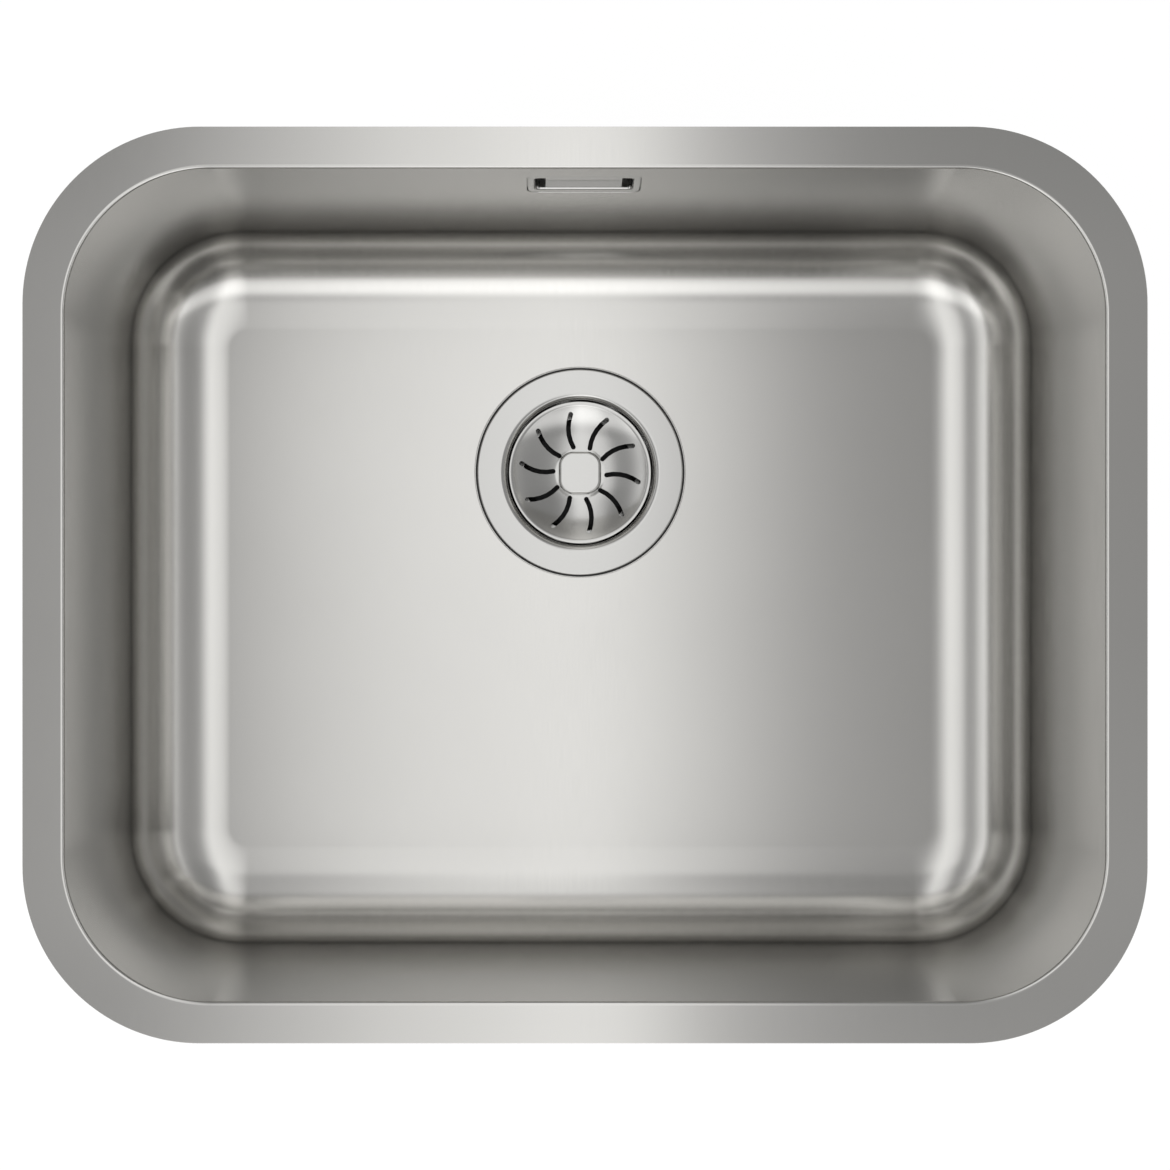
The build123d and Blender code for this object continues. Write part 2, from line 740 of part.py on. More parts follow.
# ---- overflow housing: moulded box behind the wall, with a spigot down along the wall ----
housing_back = gasket_back + housing_depth
housing_length = emboss_length + 2 * sheet - 2 * housing_inset
housing_width = emboss_width + 2 * sheet - 2 * housing_inset
chamber_back = housing_back - housing_wall
boss_end = centre_plate_back + boss_length
head_well_radius = overflow_screw_head_radius + screw_head_clearance
tube_radius = head_well_radius + screw_tube_wall
head_seat = housing_back - overflow_screw_head_height
spigot_end = -housing_width / 2 - spigot_length
spigot_plane = Plane(
    origin=overflow_plane.from_local_coords((0, spigot_end, -overflow_axis_setback)),
    x_dir=(1, 0, 0),
    z_dir=overflow_plane.y_dir,
)
with BuildPart() as overflow_housing:
    with BuildSketch(overflow_plane.offset(-gasket_back)):
        RectangleRounded(
            emboss_length + 2 * sheet, emboss_width + 2 * sheet, emboss_corner_radius + sheet
        )
    extrude(amount=-housing_flange_thickness)
    with BuildSketch(overflow_plane.offset(-gasket_back)):
        RectangleRounded(housing_length, housing_width, housing_corner_radius)
    extrude(amount=-housing_depth)
    back_face = overflow_housing.faces().sort_by_distance(
        overflow_plane.from_local_coords((0, 0, -2 * housing_back))
    )[0]
    fillet(back_face.edges(), housing_edge_radius)
    with BuildSketch(spigot_plane):
        Circle(spigot_radius)
    extrude(amount=spigot_length + housing_wall / 2)
    with BuildSketch(overflow_plane.offset(-gasket_back)):
        RectangleRounded(
            housing_length - 2 * housing_wall,
            housing_width - 2 * housing_wall,
            housing_corner_radius - housing_wall,
        )
    extrude(amount=-(housing_depth - housing_wall), mode=Mode.SUBTRACT)
    # tubes that carry the two screws forward to the cover's bosses
    with BuildSketch(overflow_plane.offset(-boss_end)):
        with Locations(*screw_sites):
            Circle(tube_radius)
    extrude(amount=-(chamber_back - boss_end))
    with BuildSketch(spigot_plane):
        Circle(hose_bore_radius)
    extrude(amount=spigot_length + 2 * housing_wall, mode=Mode.SUBTRACT)
    with BuildSketch(overflow_plane.offset(-boss_end)):
        with Locations(*screw_sites):
            Circle(overflow_screw_radius + screw_clearance)
    extrude(amount=-(housing_back - boss_end), mode=Mode.SUBTRACT)
    with BuildSketch(overflow_plane.offset(-head_seat)):
        with Locations(*screw_sites):
            Circle(head_well_radius)
    extrude(amount=-overflow_screw_head_height, mode=Mode.SUBTRACT)
save(overflow_housing, "overflow_housing")

screw_tip = boss_end - overflow_screw_engagement
with BuildPart() as overflow_screws:
    with BuildSketch(overflow_plane.offset(-screw_tip)):
        with Locations(*screw_sites):
            Circle(overflow_screw_radius)
    extrude(amount=-(head_seat - screw_tip))
    with BuildSketch(overflow_plane.offset(-head_seat)):
        with Locations(*screw_sites):
            Circle(overflow_screw_head_radius)
    extrude(amount=-overflow_screw_head_height)
    head_rims = overflow_screws.edges().filter_by(GeomType.CIRCLE).group_by(
        lambda edge: overflow_plane.to_local_coords(edge.center()).Z
    )[0]
    fillet(head_rims, overflow_screw_head_height / 2)
save(overflow_screws, "overflow_screws")

# ---- hose from the housing's spigot down the wall and forward to the waste body's inlet ----
upper_end = spigot_plane.offset(-hose_seal_thickness)
lower_end = inlet_plane.offset(body_outer_radius + spigot_length + hose_seal_thickness)
down = -overflow_plane.y_dir
drop = (inlet_level - upper_end.origin.Z) / down.Z
corner = upper_end.origin + down * drop
with BuildLine() as hose_line:
    FilletPolyline(upper_end.origin, corner, lower_end.origin, radius=hose_bend_radius)
hose_path = hose_line.wire()
hose_length = hose_path.length
ribbed_length = hose_length - 2 * cuff_length
rib_count = int(ribbed_length // hose_rib_pitch)
rib_margin = cuff_length + (ribbed_length - rib_count * hose_rib_pitch) / 2


def hose_section(distance):
    """Plane square to the hose at a distance along it, with a steady x axis."""
    return Plane(
        origin=hose_path.position_at(distance, PositionMode.LENGTH),
        x_dir=(1, 0, 0),
        z_dir=hose_path.tangent_at(distance, PositionMode.LENGTH),
    )


rib_profile = (
    (0.0, hose_root_radius),
    (0.25, hose_crest_radius),
    (0.55, hose_crest_radius),
    (0.8, hose_root_radius),
)
with BuildPart() as overflow_hose:
    with BuildSketch(hose_section(cuff_length)):
        Circle(hose_root_radius)
    for rib in range(rib_count):
        for share, ring_radius in rib_profile:
            with BuildSketch(hose_section(rib_margin + (rib + share) * hose_rib_pitch)):
                Circle(ring_radius)
    with BuildSketch(hose_section(hose_length - cuff_length)):
        Circle(hose_root_radius)
    loft(ruled=True)
    for end, inward in ((0, 1), (hose_length, -1)):
        with BuildSketch(hose_section(end)):
            Circle(cuff_radius)
        extrude(amount=inward * cuff_length)
        with BuildSketch(hose_section(end)):
            Circle(cuff_flange_radius)
        extrude(amount=inward * cuff_flange_thickness)
    with BuildSketch(hose_section(0)) as hose_bore:
        Circle(hose_bore_radius)
    sweep(sections=hose_bore.sketch, path=hose_path, mode=Mode.SUBTRACT)
save(overflow_hose, "overflow_hose")
print(
    f"hose {hose_length:.1f} mm long, {rib_count} ribs, bend radius {hose_bend_radius:.0f} mm,"
    f" volume {overflow_hose.part.volume:.0f} mm3"
)


def hose_joint(end_plane):
    """Seal and nut where the hose meets a spigot; end_plane's z axis points at the spigot."""
    with BuildPart() as seal:
        with BuildSketch(end_plane):
            Circle(cuff_flange_radius - hose_seal_inset)
            Circle(hose_bore_radius + hose_seal_inset, mode=Mode.SUBTRACT)
        extrude(amount=hose_seal_thickness)
    back = cuff_flange_thickness + nut_shoulder_gap + nut_back_thickness
    reach = hose_seal_thickness + spigot_length - nut_standoff
    with BuildPart() as nut:
        with BuildSketch(end_plane.offset(-back)):
            Circle(nut_radius)
            with PolarLocations(nut_radius, nut_grip_count):
                Circle(nut_grip_radius, mode=Mode.SUBTRACT)
            Circle(cuff_radius + nut_cuff_clearance, mode=Mode.SUBTRACT)
        extrude(amount=back + reach)
        with BuildSketch(end_plane.offset(nut_back_thickness - back)):
            Circle(spigot_radius + nut_thread_clearance)
        extrude(amount=reach + back - nut_back_thickness, mode=Mode.SUBTRACT)
    return seal, nut


hose_seal_upper, hose_nut_upper = hose_joint(
    Plane(upper_end.origin, x_dir=(1, 0, 0), z_dir=overflow_plane.y_dir)
)
hose_seal_lower, hose_nut_lower = hose_joint(
    Plane(lower_end.origin, x_dir=(1, 0, 0), z_dir=(0, -1, 0))
)
save(hose_seal_upper, "hose_seal_upper")
save(hose_seal_lower, "hose_seal_lower")
save(hose_nut_upper, "hose_nut_upper")
save(hose_nut_lower, "hose_nut_lower")

# ---- weld studs, flange nuts and swivelling clips, two to a side ----
clip_sites = {
    "clip_rear_left": (-stud_spread_x, rear_stud_line, 0),
    "clip_rear_right": (stud_spread_x, rear_stud_line, 180),
    "clip_front_left": (-stud_spread_x, -rear_stud_line, 0),
    "clip_front_right": (stud_spread_x, -rear_stud_line, 180),
    "clip_left_rear": (-side_stud_line, stud_spread_y, -90),
    "clip_left_front": (-side_stud_line, -stud_spread_y, 90),
    "clip_right_rear": (side_stud_line, stud_spread_y, -90),
    "clip_right_front": (side_stud_line, -stud_spread_y, 90),
}
stud_sites = [(x, y) for x, y, _ in clip_sites.values()]

with BuildPart() as clip_studs:
    with BuildSketch(Plane.XY.offset(flange_underside)):
        with Locations(*stud_sites):
            Circle(stud_radius)
    extrude(amount=-stud_length)
    chamfer(clip_studs.edges().group_by(Axis.Z)[0], stud_tip_chamfer)
save(clip_studs, "clip_studs")

with BuildPart() as clip_nuts:
    with BuildSketch(Plane.XY.offset(nut_top)):
        with Locations(*stud_sites):
            Circle(flange_nut_skirt_radius)
    extrude(amount=-flange_nut_skirt_height)
    with BuildSketch(Plane.XY.offset(nut_top)):
        with Locations(*stud_sites):
            RegularPolygon(flange_nut_flats / 2, 6, major_radius=False)
    extrude(amount=-flange_nut_height)
    with BuildSketch(Plane.XY.offset(nut_top)):
        with Locations(*stud_sites):
            Circle(stud_radius + thread_clearance)
    extrude(amount=-flange_nut_height, mode=Mode.SUBTRACT)
save(clip_nuts, "clip_nuts")

slot_centre = clip_reach - clip_slot_margin - clip_slot_length / 2
for label, (x, y, turn) in clip_sites.items():
    clip_plane = Plane(Location((x, y, clip_top), (0, 0, turn)))
    with BuildPart() as clip:
        with BuildSketch(clip_plane) as blank:
            Circle(clip_width / 2)
            with Locations((clip_reach / 2, 0)):
                Rectangle(clip_reach, clip_width)
            fillet(blank.vertices().group_by(Axis.X)[-1], clip_corner_radius)
        extrude(amount=-clip_thickness)
        rims = clip.edges().group_by(Axis.Z)
        fillet(rims[-1] + rims[0], clip_edge_radius)
        with BuildSketch(clip_plane):
            Circle(stud_radius + clip_hole_clearance)
            with Locations((slot_centre, 0)):
                SlotOverall(clip_slot_length, clip_slot_width)
        extrude(amount=-clip_thickness, mode=Mode.SUBTRACT)
    save(clip, label)

# ---- sound-damping pads, stuck to the outside of the floor and three walls ----
pads = {
    "sound_pad_left": ("left", side_pad_length),
    "sound_pad_right": ("right", side_pad_length),
    "sound_pad_front": ("front", front_pad_length),
}
for label, (side, pad_length) in pads.items():
    pad_back = wall_plane(side, wall_pad_level).offset(-(sheet + pad_thickness))
    with BuildPart() as pad:
        with BuildSketch(pad_back):
            RectangleRounded(pad_length, side_pad_height, pad_corner_radius)
        extrude(amount=pad_thickness)
        outer_face = pad.faces().filter_by(GeomType.PLANE).sort_by_distance(pad_back.origin)[0]
        fillet(outer_face.edges(), pad_edge_radius)
    save(pad, label)

floor_half_width = bowl_width / 2 - bowl_depth * tan(radians(wall_draft)) - floor_radius
floor_pad_front = -floor_half_width + floor_pad_margin / 2
floor_pad_rear = waste_y - body_ring_radius - floor_pad_margin
with BuildPart() as sound_pad_floor:
    with BuildSketch(Plane((0, (floor_pad_front + floor_pad_rear) / 2, floor_level - sheet))):
        RectangleRounded(
            floor_pad_length, floor_pad_rear - floor_pad_front, pad_corner_radius
        )
    extrude(amount=-pad_thickness)
    fillet(sound_pad_floor.faces().sort_by(Axis.Z)[0].edges(), pad_edge_radius)
save(sound_pad_floor, "sound_pad_floor")
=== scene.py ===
import json
import math

import bmesh
import bpy
from bpy.props import FloatProperty, FloatVectorProperty, IntProperty, PointerProperty
from mathutils import Euler, Matrix, Vector


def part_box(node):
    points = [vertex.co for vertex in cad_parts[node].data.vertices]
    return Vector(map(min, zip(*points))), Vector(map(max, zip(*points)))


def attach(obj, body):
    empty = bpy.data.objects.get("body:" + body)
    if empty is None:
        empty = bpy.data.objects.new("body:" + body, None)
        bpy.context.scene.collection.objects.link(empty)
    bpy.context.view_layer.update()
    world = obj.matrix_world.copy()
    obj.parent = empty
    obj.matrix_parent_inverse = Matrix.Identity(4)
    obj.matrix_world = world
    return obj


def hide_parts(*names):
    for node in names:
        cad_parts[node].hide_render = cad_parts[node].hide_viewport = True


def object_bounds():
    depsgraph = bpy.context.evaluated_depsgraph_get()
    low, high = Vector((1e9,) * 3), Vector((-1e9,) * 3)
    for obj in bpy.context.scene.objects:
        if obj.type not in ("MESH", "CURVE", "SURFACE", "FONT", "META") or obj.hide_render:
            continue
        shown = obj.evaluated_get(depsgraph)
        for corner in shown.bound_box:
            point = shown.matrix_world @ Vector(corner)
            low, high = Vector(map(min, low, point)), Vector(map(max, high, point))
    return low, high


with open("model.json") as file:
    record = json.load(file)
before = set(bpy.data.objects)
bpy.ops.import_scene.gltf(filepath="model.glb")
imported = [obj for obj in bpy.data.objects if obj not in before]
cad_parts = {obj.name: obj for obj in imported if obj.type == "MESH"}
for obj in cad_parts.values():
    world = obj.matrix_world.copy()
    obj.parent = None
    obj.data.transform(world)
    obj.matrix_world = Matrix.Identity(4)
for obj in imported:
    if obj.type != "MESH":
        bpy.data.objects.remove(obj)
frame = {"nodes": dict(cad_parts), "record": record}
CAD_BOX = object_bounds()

bl_info = {
    "name": "Undermount kitchen sink",
    "version": (1, 0, 0),
    "blender": (4, 5, 0),
    "location": "3D View > Sidebar > Sink",
    "description": "Dresses the packed sink: bowl, basket waste, overflow, fixings and studio",
    "category": "Add Mesh",
}

MM = 0.001
TINY = 1e-5  # metres within which two places count as one
WASTE = Vector((0.0, 0.063, 0.0))  # the waste's axis
DRAFT = math.radians(4.3)  # lean of the bowl's walls
FLOOR_LEVEL = -200 * MM
SEAT_RADIUS, SEAT_DROP = 57.25 * MM, 2 * MM  # seat of the waste, pressed into the floor
# the overflow's place in the rear wall: x along the wall, y up it and z out of its face
OVERFLOW_LEAN = Euler((math.pi / 2 - DRAFT, 0, 0)).to_matrix().to_4x4()
OVERFLOW_PLACE = Matrix.Translation((0, 197.218 * MM, -37 * MM)) @ OVERFLOW_LEAN
OVERFLOW_OPENING = (47.7 * MM, 25 * MM, 2.5 * MM)  # length, height and corner radius
RECESS = (56 * MM, 38 * MM, 6 * MM)  # pressed back round the opening for the cover
RECESS_DROP = 1.2 * MM
DIFFUSER_HALF = 2.0  # half the side of the overhead diffuser

# The diffuser's brightness, as (place in metres, brightness) along its x or its y.
ACROSS = (
    (-2.0, 0.95), (-1.38, 1.38), (-1.06, 1.36), (-0.83, 1.22), (-0.67, 1.0), (-0.54, 0.72),
    (-0.44, 0.58), (-0.35, 0.55), (-0.30, 0.58), (-0.25, 0.77), (-0.21, 1.00), (-0.163, 1.17),
    (-0.104, 1.27), (-0.045, 1.33), (0.005, 1.44), (0.044, 1.31), (0.073, 1.15),
    (0.102, 1.02), (0.132, 0.87), (0.161, 0.70), (0.191, 0.59), (0.25, 0.53), (0.385, 0.50),
    (0.59, 0.52), (0.73, 0.58), (0.92, 0.76), (1.19, 1.25), (1.5, 1.4), (2.0, 1.0),
)
ALONG = (
    (-2.0, 0.6), (-0.8, 0.9), (-0.38, 0.9), (-0.26, 0.82), (-0.2, 0.94), (-0.12, 0.96),
    (-0.02, 0.98), (0.08, 1.01), (0.17, 1.04), (0.215, 1.03), (0.25, 1.0), (0.3, 0.99),
    (0.55, 0.98), (0.70, 1.02), (0.78, 0.96), (0.88, 0.74), (1.05, 0.52), (1.4, 0.45),
    (2.0, 0.4),
)
FRONT_SOFTBOX = (
    (-2.0, 0.0), (-1.4, 0.15), (-1.0, 0.33), (-0.8, 0.48), (-0.62, 0.62), (-0.5, 0.66),
    (-0.40, 0.50), (-0.33, 0.12), (-0.27, 0.0), (2.0, 0.0),
)
# Two strips that the flange mirrors, along y, and what flags leave of their light, along x.
STRIPS = (
    (-2.0, 0.0), (-0.42, 0.0), (-0.36, 0.3), (-0.30, 1.0), (-0.245, 1.0), (-0.215, 0.5),
    (-0.19, 0.0), (0.0, 0.0), (0.19, 0.0), (0.215, 0.4), (0.25, 0.9), (0.29, 0.9),
    (0.36, 0.7), (0.45, 0.45), (0.58, 0.18), (0.72, 0.0), (2.0, 0.0),
)
FLAGS = (
    (-2.0, 1.0), (-0.36, 1.0), (-0.30, 0.88), (-0.253, 0.80), (-0.217, 0.76), (-0.18, 0.78),
    (-0.144, 0.86), (-0.107, 0.96), (-0.034, 1.02), (0.002, 1.05), (0.039, 1.01),
    (0.057, 0.92), (0.075, 0.79), (0.10, 0.70), (0.124, 0.70), (0.148, 0.74),
    (0.185, 0.83), (0.221, 0.90), (0.258, 0.93), (0.34, 1.0), (2.0, 1.0),
)


# ---- sizes and colours that a user would change ----


class BowlSettings(bpy.types.PropertyGroup):
    """Sizes of the pressed bowl that the frame doesn't give."""

    lip_radius: FloatProperty(
        name="Lip radius",
        description="Radius of the bend from the flange down into the bowl",
        default=2 * MM,
        unit="LENGTH",
    )
    floor_radius: FloatProperty(
        name="Floor radius",
        description="Radius between the walls and the floor",
        default=48 * MM,
        unit="LENGTH",
    )
    sheet: FloatProperty(
        name="Sheet", description="Thickness of the steel sheet", default=1 * MM, unit="LENGTH"
    )
    corner_segments: IntProperty(
        name="Corner segments",
        description="Facets round each upright corner of the bowl",
        default=40,
        min=8,
    )
    floor_segments: IntProperty(
        name="Floor bend segments",
        description="Facets from the walls to the floor",
        default=36,
        min=8,
    )


class WasteSettings(bpy.types.PropertyGroup):
    """Sizes of the turned waste parts."""

    turning_steps: IntProperty(
        name="Turning steps", description="Facets round each turned part", default=128, min=24
    )
    swirl_slots: IntProperty(
        name="Swirl slots", description="Number of curved slots in the strainer", default=10, min=3
    )
    swirl_width: FloatProperty(
        name="Swirl width",
        description="Width of each curved slot",
        default=2.6 * MM,
        unit="LENGTH",
    )


class FinishSettings(bpy.types.PropertyGroup):
    """Colours and gloss of the finishes."""

    steel: FloatVectorProperty(
        name="Bowl steel",
        description="Colour of the satin stainless sheet",
        default=(0.60, 0.592, 0.572),
        subtype="COLOR",
    )
    steel_roughness: FloatProperty(
        name="Bowl roughness",
        description="Roughness of the satin sheet",
        default=0.20,
        min=0.0,
        max=1.0,
        subtype="FACTOR",
    )
    polished: FloatVectorProperty(
        name="Waste steel",
        description="Colour of the polished stainless waste parts",
        default=(0.525, 0.521, 0.508),
        subtype="COLOR",
    )
    zinc: FloatVectorProperty(
        name="Zinc plate",
        description="Colour of the zinc plated fixings",
        default=(0.60, 0.61, 0.63),
        subtype="COLOR",
    )
    plastic: FloatVectorProperty(
        name="Waste plastic",
        description="Colour of the moulded waste body, housing and nuts",
        default=(0.80, 0.80, 0.79),
        subtype="COLOR",
    )
    hose: FloatVectorProperty(
        name="Hose plastic",
        description="Colour of the ribbed overflow hose",
        default=(0.72, 0.73, 0.73),
        subtype="COLOR",
    )
    black: FloatVectorProperty(
        name="Black plastic",
        description="Colour of the stopper's moulded plate",
        default=(0.035, 0.035, 0.037),
        subtype="COLOR",
    )
    rubber: FloatVectorProperty(
        name="Rubber", description="Colour of the gaskets and seals", default=(0.03, 0.03, 0.03),
        subtype="COLOR",
    )
    pad: FloatVectorProperty(
        name="Sound pad",
        description="Colour of the sound-damping pads",
        default=(0.12, 0.12, 0.125),
        subtype="COLOR",
    )
    brass: FloatVectorProperty(
        name="Brass", description="Colour of the threaded insert", default=(0.71, 0.56, 0.30),
        subtype="COLOR",
    )


class StudioSettings(bpy.types.PropertyGroup):
    """Camera and soft light."""

    camera_height: FloatProperty(
        name="Camera height",
        description="Height of the camera above the flange",
        default=1.490,
        unit="LENGTH",
    )
    field: FloatProperty(
        name="Field",
        description="Width that the camera sees at the flange",
        default=0.5614,
        unit="LENGTH",
    )
    diffuser_height: FloatProperty(
        name="Diffuser height",
        description="Height of the overhead diffuser above the flange",
        default=0.400,
        unit="LENGTH",
    )
    light_level: FloatProperty(
        name="Light level", description="Brightness of the overhead diffuser", default=1.0
    )
    room_level: FloatProperty(
        name="Room level", description="Brightness of the room round the diffuser", default=0.42
    )


# ---- shaping: primitives, selections by place, solids put together ----


def drop_selection():
    """Leave edit mode with nothing selected."""
    if bpy.context.object and bpy.context.object.mode == "EDIT":
        bpy.ops.object.mode_set(mode="OBJECT")
    bpy.ops.object.select_all(action="DESELECT")


def make_active(piece):
    drop_selection()
    piece.select_set(True)
    bpy.context.view_layer.objects.active = piece


def begin(name, add, **place):
    """Add a primitive on its own, its place in its mesh, and leave it in edit mode, selected."""
    drop_selection()
    add(**place)
    piece = bpy.context.object
    piece.name = piece.data.name = name
    bpy.ops.object.transform_apply(location=True, rotation=True, scale=True)
    bpy.ops.object.mode_set(mode="EDIT")
    bpy.ops.mesh.select_mode(type="VERT")
    bpy.ops.mesh.select_all(action="SELECT")
    return piece


def select(piece, kind, test, run=None):
    """In edit mode, select the VERTs, EDGEs or FACEs whose every corner passes the test.

    run keeps only the edges that are "level" or "upright".
    """
    bpy.ops.mesh.select_mode(type=kind)
    bpy.ops.mesh.select_all(action="DESELECT")
    mesh = bmesh.from_edit_mesh(piece.data)
    if kind == "VERT":
        for vert in mesh.verts:
            vert.select_set(test(vert.co))
    else:
        for part in mesh.edges if kind == "EDGE" else mesh.faces:
            chosen = all(test(vert.co) for vert in part.verts)
            if run:
                along = part.verts[1].co - part.verts[0].co
                chosen = chosen and (along.xy.length if run == "upright" else abs(along.z)) < TINY
            part.select_set(chosen)
    bmesh.update_edit_mesh(piece.data)


def round_edges(piece, test, size, segments, run=None):
    """Round the edges whose every corner passes the test."""
    make_active(piece)
    bpy.ops.object.mode_set(mode="EDIT")
    select(piece, "EDGE", test, run)
    bpy.ops.mesh.bevel(offset=size, segments=segments)
    bpy.ops.object.mode_set(mode="OBJECT")


def turn_outwards():
    """In edit mode, make every face point outwards, then go back to object mode."""
    bpy.ops.mesh.select_all(action="SELECT")
    bpy.ops.mesh.normals_make_consistent(inside=False)
    bpy.ops.object.mode_set(mode="OBJECT")


def rim_distance(co, length, width, corner):
    """How far a place lies inside the outline of a rounded rectangle about the centre."""
    x = max(abs(co.x) - (length / 2 - corner), 0)
    y = max(abs(co.y) - (width / 2 - corner), 0)
    return corner - math.hypot(x, y)


def add_modifier(piece, kind, **values):
    """Add a modifier with its values set, and apply it."""
    make_active(piece)
    modifier = piece.modifiers.new(kind.title(), kind)
    for name, value in values.items():
        setattr(modifier, name, value)
    bpy.ops.object.modifier_apply(modifier=modifier.name)


def combine(piece, tool, operation="DIFFERENCE"):
    """Cut the tool out of the piece, or join it on, and use the tool up."""
    drop_selection()
    add_modifier(piece, "BOOLEAN", object=tool, operation=operation, solver="EXACT")
    bpy.data.objects.remove(tool)


def finish_shape(piece, slot, node, body="root", angle=35):
    """Smooth the piece up to an angle, keep its flats flat, and put it in its node's place."""
    make_active(piece)
    bpy.ops.object.shade_smooth_by_angle(angle=math.radians(angle), keep_sharp_edges=False)
    add_modifier(piece, "WEIGHTED_NORMAL", weight=100, keep_sharp=True)
    piece.data.materials.clear()
    piece.data.materials.append(finishes()[slot])
    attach(piece, body)
    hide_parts(node)


def rounded_face(length, width, corner, height, segments, centre=(0, 0)):
    """In edit mode, add a level rounded rectangle and leave it selected."""
    bpy.ops.mesh.primitive_plane_add(size=1, location=(centre[0], centre[1], height))
    bpy.ops.transform.resize(value=(length, width, 1), center_override=(*centre, height))
    bpy.ops.mesh.bevel(offset=corner, segments=segments, affect="VERTICES")


def rounded_block(name, length, width, corner, low, high, segments=10, centre=(0, 0)):
    """Upright block with rounded corners, between two heights."""
    piece = begin(name, bpy.ops.mesh.primitive_plane_add, size=1)
    bpy.ops.mesh.delete(type="VERT")
    rounded_face(length, width, corner, low, segments, centre)
    bpy.ops.mesh.extrude_region_move(TRANSFORM_OT_translate={"value": (0, 0, high - low)})
    turn_outwards()
    return piece


def upright_rod(name, radius, low, high, centre, steps=48):
    """Upright cylinder between two heights."""
    piece = begin(
        name,
        bpy.ops.mesh.primitive_cylinder_add,
        vertices=steps,
        radius=radius,
        depth=high - low,
        location=(*centre, (high + low) / 2),
    )
    bpy.ops.object.mode_set(mode="OBJECT")
    return piece


def draw_line(name, points):
    """Start at one vertex and extrude it from point to point."""
    piece = begin(name, bpy.ops.mesh.primitive_plane_add, size=MM, location=points[0])
    bpy.ops.mesh.merge(type="CENTER")
    for here, there in zip(points, points[1:]):
        step = Vector(there) - Vector(here)
        bpy.ops.mesh.extrude_vertices_move(TRANSFORM_OT_translate={"value": step})
    return piece


def turned(name, outline, rounded):
    """Spin a closed half section, given as (radius, height), about the waste's axis.

    rounded lists the corners to round first, as (radius, height, size, segments).
    """
    piece = draw_line(name, [(radius, WASTE.y, height) for radius, height in outline])
    ends = (outline[0], outline[-1])
    select(
        piece,
        "VERT",
        lambda co: any(math.hypot(co.x - r, co.z - z) < TINY for r, z in ends),
    )
    bpy.ops.mesh.edge_face_add()
    for radius, height, size, segments in rounded:
        select(piece, "VERT", lambda co: math.hypot(co.x - radius, co.z - height) < TINY)
        bpy.ops.mesh.bevel(offset=size, segments=segments, affect="VERTICES")
    bpy.ops.mesh.select_all(action="SELECT")
    steps = bpy.context.scene.sink_waste.turning_steps
    bpy.ops.mesh.spin(steps=steps, angle=2 * math.pi, center=WASTE, axis=(0, 0, 1))
    bpy.ops.mesh.select_all(action="SELECT")
    bpy.ops.mesh.remove_doubles(threshold=TINY / 5)
    turn_outwards()
    return piece


def curved_slot(name, line, width, low, high):
    """Cutter for a slot with round ends along a line of (x, y) points about the waste's axis."""
    line = [Vector(point) for point in line]
    line.insert(0, line[0] + (line[0] - line[1]).normalized() * width / 2)
    line.append(line[-1] + (line[-1] - line[-2]).normalized() * width / 2)
    piece = draw_line(name, [(point.x, WASTE.y + point.y, low) for point in line])
    bpy.ops.mesh.select_all(action="SELECT")
    bpy.ops.mesh.extrude_region_move(TRANSFORM_OT_translate={"value": (0, 0, high - low)})
    bpy.ops.mesh.select_all(action="SELECT")
    bpy.ops.mesh.normals_make_consistent(inside=False)
    add_modifier(piece, "SOLIDIFY", thickness=width, offset=0, use_even_offset=True)
    bpy.ops.object.mode_set(mode="EDIT")
    ends = [WASTE.xy + line[0], WASTE.xy + line[-1]]
    select(
        piece,
        "EDGE",
        lambda co: any((co.xy - end).length < width * 0.51 for end in ends),
        run="upright",
    )
    bpy.ops.mesh.bevel(offset=width * 0.49, segments=6)
    turn_outwards()
    return piece


def put_at_overflow(piece):
    """Move a piece drawn flat, with its face up, to its place in the rear wall."""
    make_active(piece)
    piece.matrix_world = OVERFLOW_PLACE
    bpy.ops.object.transform_apply(location=True, rotation=True, scale=True)


def repeat_round_waste(piece, count):
    """Copy a piece's mesh round the waste's axis."""
    make_active(piece)
    bpy.ops.object.mode_set(mode="EDIT")
    bpy.ops.mesh.select_all(action="SELECT")
    bpy.ops.mesh.spin(
        steps=count - 1,
        dupli=True,
        angle=2 * math.pi * (count - 1) / count,
        center=WASTE,
        axis=(0, 0, 1),
    )
    bpy.ops.object.mode_set(mode="OBJECT")


# ---- finishes ----


def new_material(name):
    material = bpy.data.materials.new(name)
    material.use_nodes = True
    nodes = material.node_tree.nodes
    return material, nodes, material.node_tree.links, nodes["Principled BSDF"]


def grain_height(nodes, links, stretch, scale, detail=4.0):
    """Noise stretched along the direction in which the surface was brushed or moulded."""
    place = nodes.new("ShaderNodeTexCoord")
    mapping = nodes.new("ShaderNodeMapping")
    mapping.inputs["Scale"].default_value = stretch
    noise = nodes.new("ShaderNodeTexNoise")
    noise.inputs["Scale"].default_value = scale
    noise.inputs["Detail"].default_value = detail
    links.new(place.outputs["Object"], mapping.inputs["Vector"])
    links.new(mapping.outputs["Vector"], noise.inputs["Vector"])
    return noise.outputs["Fac"]


def add_bump(nodes, links, shader, height, strength, distance):
    bump = nodes.new("ShaderNodeBump")
    bump.inputs["Strength"].default_value = strength
    bump.inputs["Distance"].default_value = distance
    links.new(height, bump.inputs["Height"])
    links.new(bump.outputs["Normal"], shader.inputs["Normal"])


def vary_roughness(nodes, links, shader, value, low, high):
    spread = nodes.new("ShaderNodeMapRange")
    spread.inputs["From Min"].default_value = 0.3
    spread.inputs["From Max"].default_value = 0.7
    spread.inputs["To Min"].default_value = low
    spread.inputs["To Max"].default_value = high
    links.new(value, spread.inputs["Value"])
    links.new(spread.outputs["Result"], shader.inputs["Roughness"])


